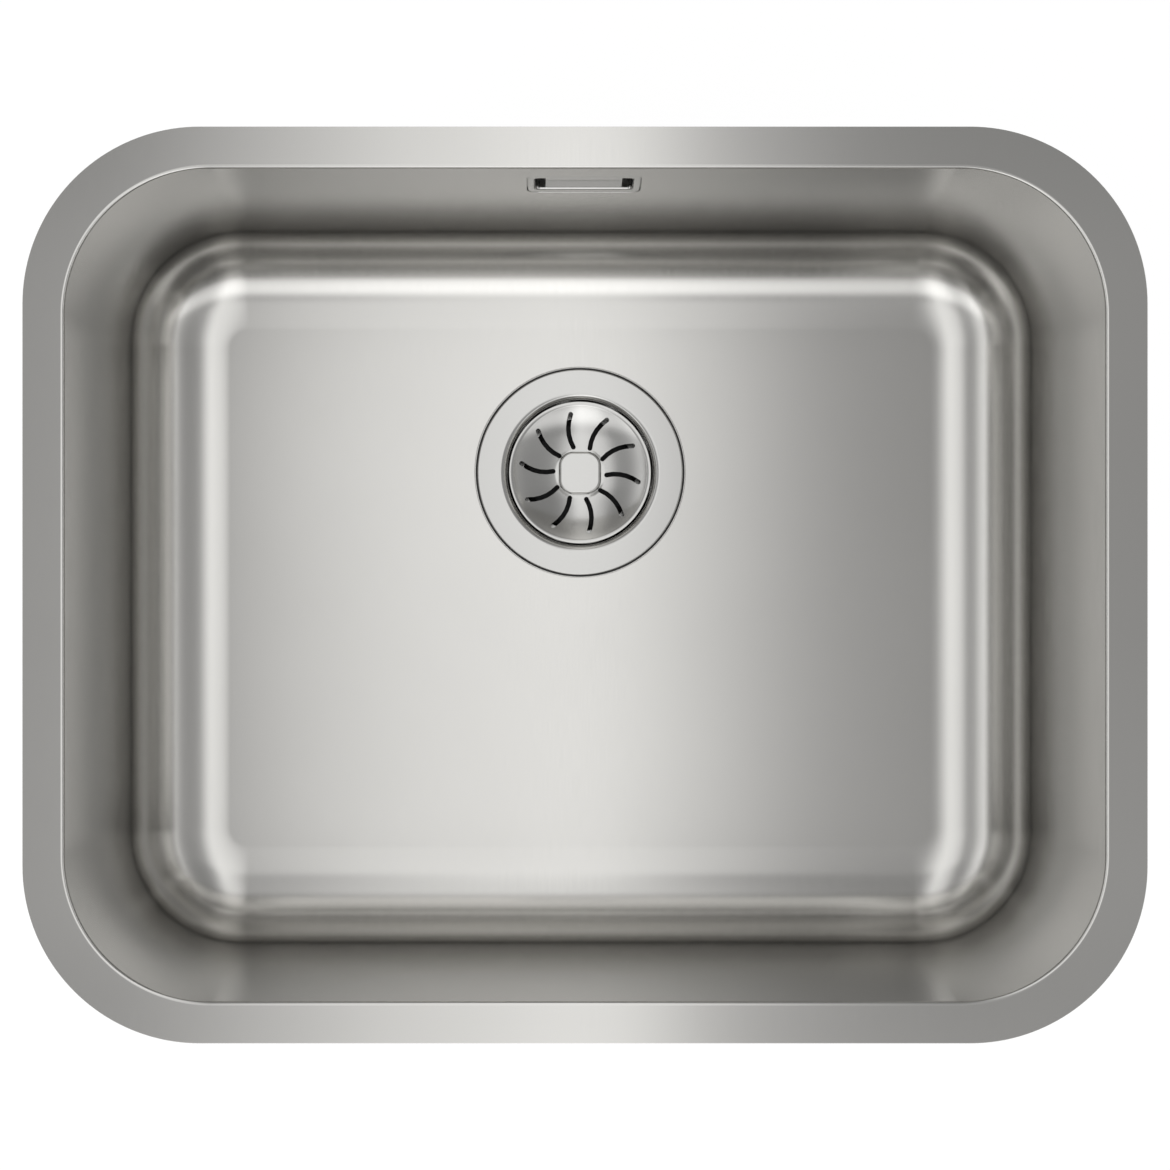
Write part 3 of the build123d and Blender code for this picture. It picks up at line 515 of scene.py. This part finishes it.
def vary_colour(nodes, links, shader, value, colour, spread):
    """Colour that drifts a little, darker to lighter, with a value from 0 to 1."""
    ramp = nodes.new("ShaderNodeValToRGB")
    ends = ramp.color_ramp.elements
    ends[0].position, ends[1].position = 0.3, 0.7
    ends[0].color = (*(part * (1 - spread) for part in colour), 1)
    ends[1].color = (*(min(1, part * (1 + spread)) for part in colour), 1)
    links.new(value, ramp.inputs["Fac"])
    links.new(ramp.outputs["Color"], shader.inputs["Base Color"])


def steel_finish(name, colour, roughness, spread, brushed, brush_depth, edge=1.0):
    """Stainless steel: metal with fine brushed grain and slow drift of its gloss.

    edge is how much of the glancing reflection the brushed surface keeps.
    """
    material, nodes, links, shader = new_material(name)
    shader.inputs["Metallic"].default_value = 1.0
    shader.inputs["Specular Tint"].default_value = (edge, edge, edge, 1)
    grain = grain_height(nodes, links, brushed, scale=1.0, detail=6.0)
    drift = grain_height(nodes, links, (1, 1, 1), scale=9.0, detail=2.0)
    vary_colour(nodes, links, shader, drift, colour, spread=0.015)
    vary_roughness(nodes, links, shader, grain, roughness - spread, roughness + spread)
    add_bump(nodes, links, shader, grain, strength=0.35, distance=brush_depth)
    return material


def moulded_finish(name, colour, roughness, scale, depth, spread=0.03):
    """Moulded plastic or rubber: faint drift of colour over a fine tool texture."""
    material, nodes, links, shader = new_material(name)
    texture = grain_height(nodes, links, (1, 1, 1), scale, detail=6.0)
    drift = grain_height(nodes, links, (1, 1, 1), scale=14.0, detail=3.0)
    vary_colour(nodes, links, shader, drift, colour, spread)
    vary_roughness(nodes, links, shader, texture, roughness - 0.06, roughness + 0.06)
    add_bump(nodes, links, shader, texture, strength=0.4, distance=depth)
    return material


def calculate(nodes, links, operation, *values):
    """Math node on numbers and sockets."""
    node = nodes.new("ShaderNodeMath")
    node.operation = operation
    for socket, value in zip(node.inputs, values):
        if isinstance(value, float):
            socket.default_value = value
        else:
            links.new(value, socket)
    return node.outputs["Value"]


def mix_shaders(nodes, links, share, first, second):
    """The first shader, and as much of the second as the share says."""
    mix = nodes.new("ShaderNodeMixShader")
    for socket, value in zip(mix.inputs, (share, first, second)):
        links.new(value, socket)
    return mix.outputs["Shader"]


def white_glow(nodes, strength):
    glow = nodes.new("ShaderNodeEmission")
    glow.inputs["Color"].default_value = (1, 1, 1, 1)
    glow.inputs["Strength"].default_value = strength
    return glow


def floor_finish():
    """Pale floor that the camera and the metal see as white, and that keeps the shadow.

    From below it is clear, so that the underside can be looked at.
    """
    material, nodes, links, shader = new_material("studio_floor_paint")
    shader.inputs["Base Color"].default_value = (0.82, 0.82, 0.82, 1)
    shader.inputs["Roughness"].default_value = 0.9
    glow = white_glow(nodes, 1.1)
    rays = nodes.new("ShaderNodeLightPath").outputs
    seen = calculate(nodes, links, "MAXIMUM", rays["Is Camera Ray"], rays["Is Glossy Ray"])
    seen = calculate(nodes, links, "MAXIMUM", seen, rays["Is Transmission Ray"])
    share = calculate(nodes, links, "MULTIPLY", seen, 0.85)
    above = mix_shaders(nodes, links, share, shader.outputs["BSDF"], glow.outputs["Emission"])
    below = nodes.new("ShaderNodeBsdfTransparent").outputs["BSDF"]
    side = nodes.new("ShaderNodeNewGeometry").outputs["Backfacing"]
    surface = mix_shaders(nodes, links, side, above, below)
    links.new(surface, nodes["Material Output"].inputs["Surface"])
    return material


def brightness_along(nodes, links, place, stops):
    """Brightness that runs smoothly from stop to stop along one axis of the diffuser."""
    reach = nodes.new("ShaderNodeMapRange")
    reach.inputs["From Min"].default_value = -DIFFUSER_HALF
    reach.inputs["From Max"].default_value = DIFFUSER_HALF
    links.new(place, reach.inputs["Value"])
    ramp = nodes.new("ShaderNodeFloatCurve")
    curve = ramp.mapping.curves[0]
    tallest = 2.0
    points = [((at / DIFFUSER_HALF + 1) / 2, value / tallest) for at, value in stops]
    curve.points[0].location = points[0]
    curve.points[1].location = points[-1]
    for point in points[1:-1]:
        curve.points.new(*point)
    ramp.mapping.update()
    links.new(reach.outputs["Result"], ramp.inputs["Value"])
    return calculate(nodes, links, "MULTIPLY", ramp.outputs["Value"], tallest)


def diffuser_glow(level):
    """Cloth over lamps: bright over the middle, with a softbox at each side and in front."""
    material, nodes, links, shader = new_material("diffuser_cloth")
    nodes.remove(shader)
    place = nodes.new("ShaderNodeTexCoord")
    split = nodes.new("ShaderNodeSeparateXYZ")
    links.new(place.outputs["Object"], split.inputs["Vector"])
    x, y = split.outputs["X"], split.outputs["Y"]
    across, flags = (brightness_along(nodes, links, x, stops) for stops in (ACROSS, FLAGS))
    along, front, strips = (
        brightness_along(nodes, links, y, stops) for stops in (ALONG, FRONT_SOFTBOX, STRIPS)
    )
    flagged = nodes.new("ShaderNodeMix")
    flagged.inputs["A"].default_value = 1.0
    links.new(strips, flagged.inputs["Factor"])
    links.new(flags, flagged.inputs["B"])
    across = calculate(nodes, links, "MULTIPLY", across, flagged.outputs["Result"])
    middle = calculate(nodes, links, "MULTIPLY", across, along)
    whole = calculate(nodes, links, "ADD", middle, front)
    strength = calculate(nodes, links, "MULTIPLY", whole, level)
    glow = white_glow(nodes, 1.0)
    links.new(strength, glow.inputs["Strength"])
    links.new(glow.outputs["Emission"], nodes["Material Output"].inputs["Surface"])
    return material


def finishes():
    """Every finish by the name of the record's slot that it belongs to, made once."""
    if "bowl_steel_finish" not in bpy.data.materials:
        tone = bpy.context.scene.sink_finish
        gloss = tone.steel_roughness
        edge = 0.72  # what the bowl and the waste keep of their glancing reflection
        # colour, roughness and its spread, grain along x, y and z, and its depth
        steel_finish("bowl_steel_finish", tone.steel, gloss, 0.02, (2600, 60, 60), 4e-6, edge)
        steel_finish("waste_steel_finish", tone.polished, 0.16, 0.02, (900, 900, 900), 3e-6, edge)
        steel_finish("zinc_steel_finish", tone.zinc, 0.34, 0.06, (700, 700, 700), 1e-5)
        steel_finish("brass_finish", tone.brass, 0.28, 0.04, (200, 200, 3000), 8e-6)
        # colour, roughness, fineness and depth of the texture, and spread of the colour
        moulded_finish("waste_plastic_finish", tone.plastic, 0.42, 1800.0, 1.2e-5)
        moulded_finish("black_plastic_finish", tone.black, 0.45, 1500.0, 1.5e-5, 0.15)
        moulded_finish("hose_plastic_finish", tone.hose, 0.45, 1500.0, 1.2e-5)
        moulded_finish("rubber_finish", tone.rubber, 0.62, 2200.0, 3e-5, 0.2)
        moulded_finish("sound_pad_finish", tone.pad, 0.8, 900.0, 1.2e-4, 0.25)
    return {
        name.removesuffix("_finish"): material
        for name, material in bpy.data.materials.items()
        if name.endswith("_finish")
    }


# ---- the pieces, one operator each ----


class SINK_OT_bowl(bpy.types.Operator):
    """Press the bowl: flange, walls, rounded floor, seat of the waste and overflow recess"""

    bl_idname = "sink.bowl"
    bl_label = "Bowl"

    def execute(self, context):
        sizes = context.scene.sink_bowl
        low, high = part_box("bowl")
        flange = (high.x - low.x, high.y - low.y, 85 * MM)  # length, width and corner radius
        piece = self.press_sheet(sizes, flange)
        self.press_seat(piece, sizes.sheet)
        self.break_edges(piece, sizes.sheet, flange)
        self.press_recess(piece, sizes.sheet)
        finish_shape(piece, "bowl_steel", "bowl", angle=30)
        return {"FINISHED"}

    def press_sheet(self, sizes, flange):
        """Flat flange, then inset after inset down into the bowl; thickened at the end."""
        length, width = flange[:2]
        flange_width, bowl_corner = 20 * MM, 70 * MM
        lean = math.pi / 2 - DRAFT
        lip, sweep = sizes.lip_radius, sizes.floor_radius
        lip_start = lip * math.tan(lean / 2)
        segments = sizes.corner_segments

        piece = begin("bowl_pressed", bpy.ops.mesh.primitive_plane_add, size=1)
        bpy.ops.mesh.delete(type="VERT")
        rounded_face(*flange, 0, segments)
        bpy.ops.mesh.delete(type="ONLY_FACE")
        rounded_face(
            length - 2 * flange_width + 2 * lip_start,
            width - 2 * flange_width + 2 * lip_start,
            bowl_corner + lip_start,
            0,
            segments,
        )
        bpy.ops.mesh.delete(type="ONLY_FACE")
        select(piece, "EDGE", lambda co: True)
        bpy.ops.mesh.bridge_edge_loops()
        select(piece, "EDGE", lambda co: rim_distance(co, *flange) > flange_width / 2)
        bpy.ops.mesh.edge_face_add()

        # down over the lip, along the wall and round to the floor, as (inset, depth) stations
        stations = [(0.0, 0.0)]
        lip_segments = 8
        for index in range(1, lip_segments + 1):
            turn = lean * index / lip_segments
            stations.append((lip * math.sin(turn), lip * (1 - math.cos(turn))))
        wall_end = -FLOOR_LEVEL - sweep * (1 - math.cos(lean))
        start = Vector(stations[-1])
        for share in (0.5, 1.0):
            depth = start.y + (wall_end - start.y) * share
            stations.append((start.x + (depth - start.y) * math.tan(DRAFT), depth))
        start = Vector(stations[-1])
        for index in range(1, sizes.floor_segments + 1):
            turn = lean * (1 - index / sizes.floor_segments)
            inset = start.x + sweep * (math.sin(lean) - math.sin(turn))
            depth = start.y + sweep * (math.cos(turn) - math.cos(lean))
            stations.append((inset, depth))
        for (inset, depth), (next_inset, next_depth) in zip(stations, stations[1:]):
            bpy.ops.mesh.inset(thickness=next_inset - inset, depth=depth - next_depth)

        bpy.ops.mesh.select_all(action="SELECT")
        bpy.ops.mesh.normals_make_consistent(inside=False)
        mesh = bmesh.from_edit_mesh(piece.data)
        if sum(face.normal.z for face in mesh.faces) < 0:
            bpy.ops.mesh.flip_normals()
        add_modifier(piece, "SOLIDIFY", thickness=sizes.sheet, offset=-1, use_even_offset=True)
        return piece

    def press_seat(self, piece, sheet):
        """Round seat of the waste, pressed down into the floor and pierced."""
        hole_radius, clear = 44 * MM, 5 * MM
        level = FLOOR_LEVEL - SEAT_DROP
        centre = (WASTE.x, WASTE.y)
        for name, radius, bottom, top, operation in (
            ("seat_back", SEAT_RADIUS + sheet, level - sheet, FLOOR_LEVEL - sheet / 2, "UNION"),
            ("seat", SEAT_RADIUS, level, FLOOR_LEVEL + clear, "DIFFERENCE"),
            ("waste_hole", hole_radius, level - clear, FLOOR_LEVEL, "DIFFERENCE"),
        ):
            combine(piece, upright_rod(name, radius, bottom, top, centre, 160), operation)

    def break_edges(self, piece, sheet, flange):
        """Rounded pressing edge of the seat, and the broken edge of the flange."""
        round_edges(
            piece,
            lambda co: abs(co.z - FLOOR_LEVEL) < TINY
            and (co.xy - WASTE.xy).length < SEAT_RADIUS + TINY,
            size=0.3 * MM,
            segments=4,
        )
        round_edges(
            piece,
            lambda co: co.z > -sheet - TINY and rim_distance(co, *flange) < 1 * MM,
            size=0.2 * MM,
            segments=2,
            run="level",
        )

    def press_recess(self, piece, sheet):
        """Recess for the overflow's cover, pressed back from the wall, and the hole in it."""
        length, height, corner = RECESS
        back = (length + 2 * sheet, height + 2 * sheet, corner + sheet)
        collar_hole = (50.4 * MM, 27.7 * MM, 3.5 * MM)  # length, height and corner radius
        reach = 6 * MM  # of the cutters, to each side of the wall's face
        for name, outline, bottom, top, operation in (
            ("recess_back", back, -RECESS_DROP - sheet, -sheet / 2, "UNION"),
            ("recess", RECESS, -RECESS_DROP, reach, "DIFFERENCE"),
            ("collar_hole", collar_hole, -reach, reach, "DIFFERENCE"),
        ):
            tool = rounded_block(name, *outline, bottom, top)
            put_at_overflow(tool)
            combine(piece, tool, operation)
        to_recess = OVERFLOW_PLACE.inverted()

        def on_rim(co):
            place = to_recess @ co
            return (
                abs(place.z) < 2 * TINY
                and abs(place.x) < length / 2 + 1 * MM
                and abs(place.y) < height / 2 + 1 * MM
            )

        round_edges(piece, on_rim, size=0.25 * MM, segments=3)


class SINK_OT_waste_cup(bpy.types.Operator):
    """Spin the waste cup with its polished flange, and punch its drain slots"""

    bl_idname = "sink.waste_cup"
    bl_label = "Waste cup"

    def execute(self, context):
        bore, rim, centre_hole = 39.6 * MM, 56.1 * MM, 4.2 * MM  # radii
        sheet, rim_sheet = 1 * MM, 1.2 * MM
        top, floor = FLOOR_LEVEL, FLOOR_LEVEL - 40 * MM
        piece = turned(
            "waste_cup_drawn",
            [
                (centre_hole, floor - sheet),
                (bore + sheet, floor - sheet),
                (bore + sheet, top - rim_sheet),
                (rim, top - rim_sheet),
                (rim, top),
                (bore, top),
                (bore, floor),
                (centre_hole, floor),
            ],
            rounded=(
                (bore + sheet, floor - sheet, 3 * MM, 8),
                (bore + sheet, top - rim_sheet, 3 * MM, 8),
                (rim, top, 0.9 * MM, 6),
                (bore, top, 4 * MM, 12),
                (bore, floor, 2 * MM, 8),
            ),
        )
        count, inner, outer, web = 6, 13 * MM, 25 * MM, 5 * MM
        middle, half_width = (inner + outer) / 2, (outer - inner) / 2
        half_angle = math.pi / count - math.asin((web / 2 + half_width) / middle)
        line = [
            (middle * math.cos(half_angle * share), middle * math.sin(half_angle * share))
            for share in (-1, -0.6, -0.2, 0.2, 0.6, 1)
        ]
        low, high = floor - 3 * MM, floor + 2 * MM  # past both faces of the cup's floor
        slot = curved_slot("drain_slot", line, 2 * half_width, low, high)
        repeat_round_waste(slot, count)
        combine(piece, slot)
        finish_shape(piece, "waste_steel", "waste_cup")
        return {"FINISHED"}


class SINK_OT_strainer_dish(bpy.types.Operator):
    """Spin the strainer's dish and cut its swirl of slots"""

    bl_idname = "sink.strainer_dish"
    bl_label = "Strainer dish"

    def execute(self, context):
        sizes = context.scene.sink_waste
        low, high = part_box("strainer_dish")
        rim, sheet = high.z, 0.8 * MM
        middle = low.z + sheet
        # radii: outside, inside of the rim, flat middle, hole for the stem
        outer = (high.x - low.x) / 2
        inner, flat, hole = outer - 1.5 * MM, 13 * MM, 3.08 * MM
        steep = math.radians(30)  # slope of the sides at the rim
        gentle = math.radians(7)  # and at the flat middle
        sweep = (inner - flat) / (math.sin(steep) - math.sin(gentle))
        axis, centre = flat - sweep * math.sin(gentle), middle + sweep * math.cos(gentle)

        def side(radius, start, end, steps=24):
            """Arc of the section from one slope to another, as (radius, height) points."""
            slopes = [start + (end - start) * index / steps for index in range(steps + 1)]
            return [(axis + radius * math.sin(t), centre - radius * math.cos(t)) for t in slopes]

        under = sweep + sheet
        piece = turned(
            "strainer_dish_pressed",
            [
                (hole, middle),
                *side(sweep, gentle, steep),
                (outer, rim),
                (outer, rim - sheet),
                *side(
                    under,
                    math.acos((centre - rim + sheet) / under),
                    math.acos((centre - middle + sheet) / under),
                ),
                (hole, middle - sheet),
            ],
            rounded=((outer, rim, 0.3 * MM, 4), (outer, rim - sheet, 0.3 * MM, 4)),
        )
        # each slot starts at an angle, lags behind it outwards, and bows by a sagitta
        first, lag, sagitta = math.radians(32), math.radians(5), 1.6 * MM
        inner_end, outer_end = 14.7 * MM, 32.3 * MM
        line = []
        for share in (0, 0.2, 0.4, 0.6, 0.8, 1):
            angle = first - lag * share
            radius = inner_end + (outer_end - inner_end) * share
            bow = sagitta * 4 * share * (1 - share)
            x = radius * math.cos(angle) - bow * math.sin(angle)
            y = radius * math.sin(angle) + bow * math.cos(angle)
            line.append((x, y))
        clear = 2 * MM
        slot = curved_slot("swirl_slot", line, sizes.swirl_width, low.z - clear, rim + clear)
        repeat_round_waste(slot, sizes.swirl_slots)
        combine(piece, slot)
        finish_shape(piece, "waste_steel", "strainer_dish", body="strainer")
        return {"FINISHED"}


class SINK_OT_strainer_knob(bpy.types.Operator):
    """Shape the rounded square knob that lifts the basket"""

    bl_idname = "sink.strainer_knob"
    bl_label = "Strainer knob"

    def execute(self, context):
        low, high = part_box("strainer_knob")
        size, corner, edge = high.x - low.x, 7.5 * MM, 1.6 * MM
        pocket_radius, pocket_depth, clear = 7 * MM, 4 * MM, 1 * MM
        centre = (WASTE.x, WASTE.y)
        piece = rounded_block("strainer_knob_cast", size, size, corner, low.z, high.z, 16, centre)
        round_edges(piece, lambda co: co.z > high.z - TINY, edge, segments=8)
        pocket = upright_rod("pocket", pocket_radius, low.z - clear, low.z + pocket_depth, centre)
        combine(piece, pocket)
        finish_shape(piece, "waste_steel", "strainer_knob", body="strainer")
        return {"FINISHED"}


class SINK_OT_overflow_cover(bpy.types.Operator):
    """Build the overflow's frame, its collar through the wall and its set-back plate"""

    bl_idname = "sink.overflow_cover"
    bl_label = "Overflow cover"

    def execute(self, context):
        length, height, corner = OVERFLOW_OPENING
        sheet, gap = 1 * MM, 0.3 * MM  # gap between the cover and its recess
        recess_length, recess_height, recess_corner = RECESS
        face = sheet - RECESS_DROP
        near_face = face - 0.1 * MM
        collar_start, collar_end = -0.6 * MM, -6 * MM  # from inside the frame's sheet
        piece = rounded_block(
            "overflow_cover_pressed",
            recess_length - 2 * gap,
            recess_height - 2 * gap,
            recess_corner - gap,
            face - sheet,
            face,
        )
        round_edges(piece, lambda co: co.z > near_face, size=0.3 * MM, segments=3)
        collar = rounded_block(
            "collar",
            length + 2 * sheet,
            height + 2 * sheet,
            corner + sheet,
            collar_end,
            collar_start,
        )
        combine(piece, collar, "UNION")
        clear = 2 * MM
        opening = rounded_block("cover_opening", *OVERFLOW_OPENING, collar_end - clear, clear)
        combine(piece, opening)

        # rolled lip of the opening
        round_edges(
            piece,
            lambda co: co.z > near_face
            and abs(co.x) < length / 2 + 0.1 * MM
            and abs(co.y) < height / 2 + 0.1 * MM,
            size=1.2 * MM,
            segments=6,
        )

        # set-back plate with a slot at each side, and two bosses behind it for the screws
        slot_width, lap, plate_face = 5 * MM, 0.3 * MM, -2.7 * MM
        plate_corner, plate_back = 0.4 * MM, plate_face - sheet
        plate = rounded_block(
            "centre_plate",
            length - 2 * slot_width,
            height + 2 * lap,
            plate_corner,
            plate_back,
            plate_face,
            segments=3,
        )
        combine(piece, plate, "UNION")
        boss_radius, boss_end, boss_top = 3.4 * MM, -9 * MM, plate_back + 0.2 * MM
        hole_radius, hole_end, hole_top = 2.05 * MM, -10 * MM, plate_back - 0.02 * MM
        screw_place = 15 * MM  # to each side of the plate's middle
        for x in (-screw_place, screw_place):
            boss = upright_rod("boss", boss_radius, boss_end, boss_top, (x, 0))
            combine(piece, boss, "UNION")
            hole = upright_rod("screw_hole", hole_radius, hole_end, hole_top, (x, 0))
            combine(piece, hole)
        put_at_overflow(piece)
        finish_shape(piece, "waste_steel", "overflow_cover")
        return {"FINISHED"}


class SINK_OT_carried_over(bpy.types.Operator):
    """Give the nodes that stay as the frame has them their finishes"""

    bl_idname = "sink.carried_over"
    bl_label = "Carried-over pieces"

    def execute(self, context):
        made = finishes()
        for row in frame["record"]["subparts"]:
            node = frame["nodes"][row["node"]]
            node.data.materials.clear()
            node.data.materials.append(made[row["material_slot"]])
        return {"FINISHED"}


class SINK_OT_stage(bpy.types.Operator):
    """Set up the floor, the overhead diffuser, the room and the camera"""

    bl_idname = "sink.stage"
    bl_label = "Stage"

    def execute(self, context):
        studio = context.scene.sink_studio
        drop_selection()
        floor_size, floor_gap = 30, 0.5 * MM
        bpy.ops.mesh.primitive_plane_add(
            size=floor_size, location=(0, 0, CAD_BOX[0].z - floor_gap)
        )
        floor = context.object
        floor.name = "studio_floor"
        bpy.ops.object.transform_apply(location=True)
        floor.data.materials.append(floor_finish())

        bpy.ops.mesh.primitive_plane_add(
            size=2 * DIFFUSER_HALF, location=(0, 0, studio.diffuser_height)
        )
        diffuser = context.object
        diffuser.name = "overhead_diffuser"
        bpy.ops.object.transform_apply(location=True)
        diffuser.data.materials.append(diffuser_glow(studio.light_level))
        diffuser.visible_camera = False
        diffuser.visible_shadow = False

        world = bpy.data.worlds.new("studio_room")
        context.scene.world = world
        world.use_nodes = True
        nodes, links = world.node_tree.nodes, world.node_tree.links
        room, white = nodes["Background"], nodes.new("ShaderNodeBackground")
        for background in (room, white):
            background.inputs["Color"].default_value = (1, 1, 1, 1)
        room.inputs["Strength"].default_value = studio.room_level
        seen = nodes.new("ShaderNodeLightPath").outputs["Is Camera Ray"]
        room, white = room.outputs["Background"], white.outputs["Background"]
        surface = mix_shaders(nodes, links, seen, room, white)
        links.new(surface, nodes["World Output"].inputs["Surface"])

        off_centre = Vector((-19.8 * MM, -12 * MM))  # of the camera; its shift makes up for it
        sensor = 36
        bpy.ops.object.camera_add(location=(*off_centre, studio.camera_height), rotation=(0, 0, 0))
        camera = context.object
        camera.data.sensor_width = sensor
        camera.data.lens = sensor * studio.camera_height / studio.field
        camera.data.shift_x = -off_centre.x / studio.field
        camera.data.shift_y = -off_centre.y / studio.field
        context.scene.camera = camera
        context.scene.view_settings.view_transform = "Standard"
        return {"FINISHED"}


class SINK_PT_panel(bpy.types.Panel):
    """Lists the steps that dress the sink"""

    bl_idname = "SINK_PT_panel"
    bl_label = "Kitchen sink"
    bl_space_type = "VIEW_3D"
    bl_region_type = "UI"
    bl_category = "Sink"

    def draw(self, context):
        for step in STEPS:
            self.layout.operator(step.bl_idname)


STEPS = (
    SINK_OT_carried_over,
    SINK_OT_bowl,
    SINK_OT_waste_cup,
    SINK_OT_strainer_dish,
    SINK_OT_strainer_knob,
    SINK_OT_overflow_cover,
    SINK_OT_stage,
)
SETTINGS = {
    "sink_bowl": BowlSettings,
    "sink_waste": WasteSettings,
    "sink_finish": FinishSettings,
    "sink_studio": StudioSettings,
}


def register():
    for group in SETTINGS.values():
        bpy.utils.register_class(group)
    for name, group in SETTINGS.items():
        setattr(bpy.types.Scene, name, PointerProperty(type=group))
    for part in (*STEPS, SINK_PT_panel):
        bpy.utils.register_class(part)


def unregister():
    for part in (SINK_PT_panel, *reversed(STEPS)):
        bpy.utils.unregister_class(part)
    for name in SETTINGS:
        delattr(bpy.types.Scene, name)
    for group in SETTINGS.values():
        bpy.utils.unregister_class(group)


def main():
    register()
    for step in STEPS:
        group, name = step.bl_idname.split(".")
        getattr(getattr(bpy.ops, group), name)()


if __name__ == "__main__":
    main()
